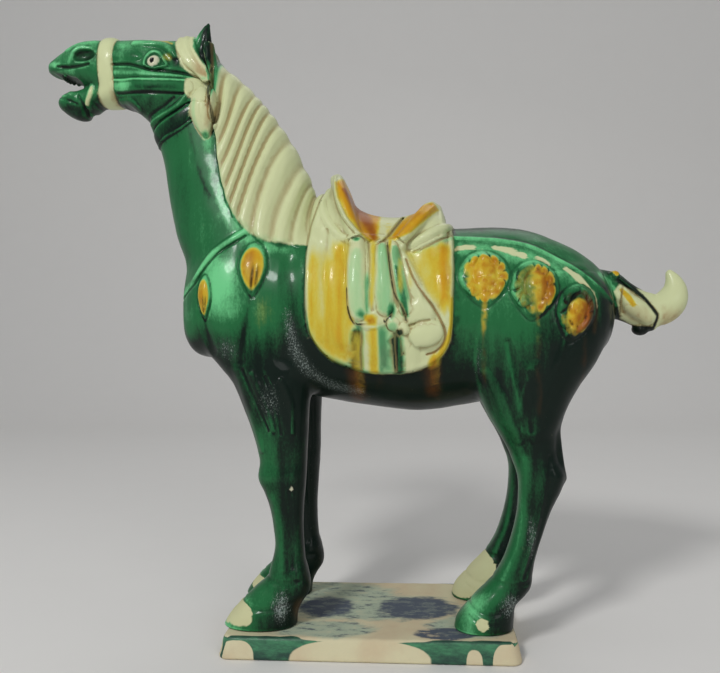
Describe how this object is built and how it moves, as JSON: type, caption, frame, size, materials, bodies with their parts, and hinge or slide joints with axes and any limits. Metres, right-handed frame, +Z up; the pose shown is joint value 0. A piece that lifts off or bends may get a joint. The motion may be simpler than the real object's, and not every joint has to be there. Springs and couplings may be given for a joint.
{
  "type": "horse figure",
  "caption": "Glazed earthenware horse with saddle, cloth and harness drops, head raised and mouth open, standing square on a low rectangular plinth.",
  "frame": {"origin": "centre of the plinth's underside", "axes": "+Z up, the head towards -X and the tail towards +X, the horse's left side towards -Y"},
  "size_m": [0.4145, 0.113, 0.3948],
  "materials": {
    "glaze": "glossy green, amber and cream lead glazes run over pale clay",
    "plinth_clay": "bare buff clay with green glaze runs and dark blue-grey patches"
  },
  "bodies": {
    "root": {"horse": "glaze", "plinth": "plinth_clay"}
  },
  "joints": []
}
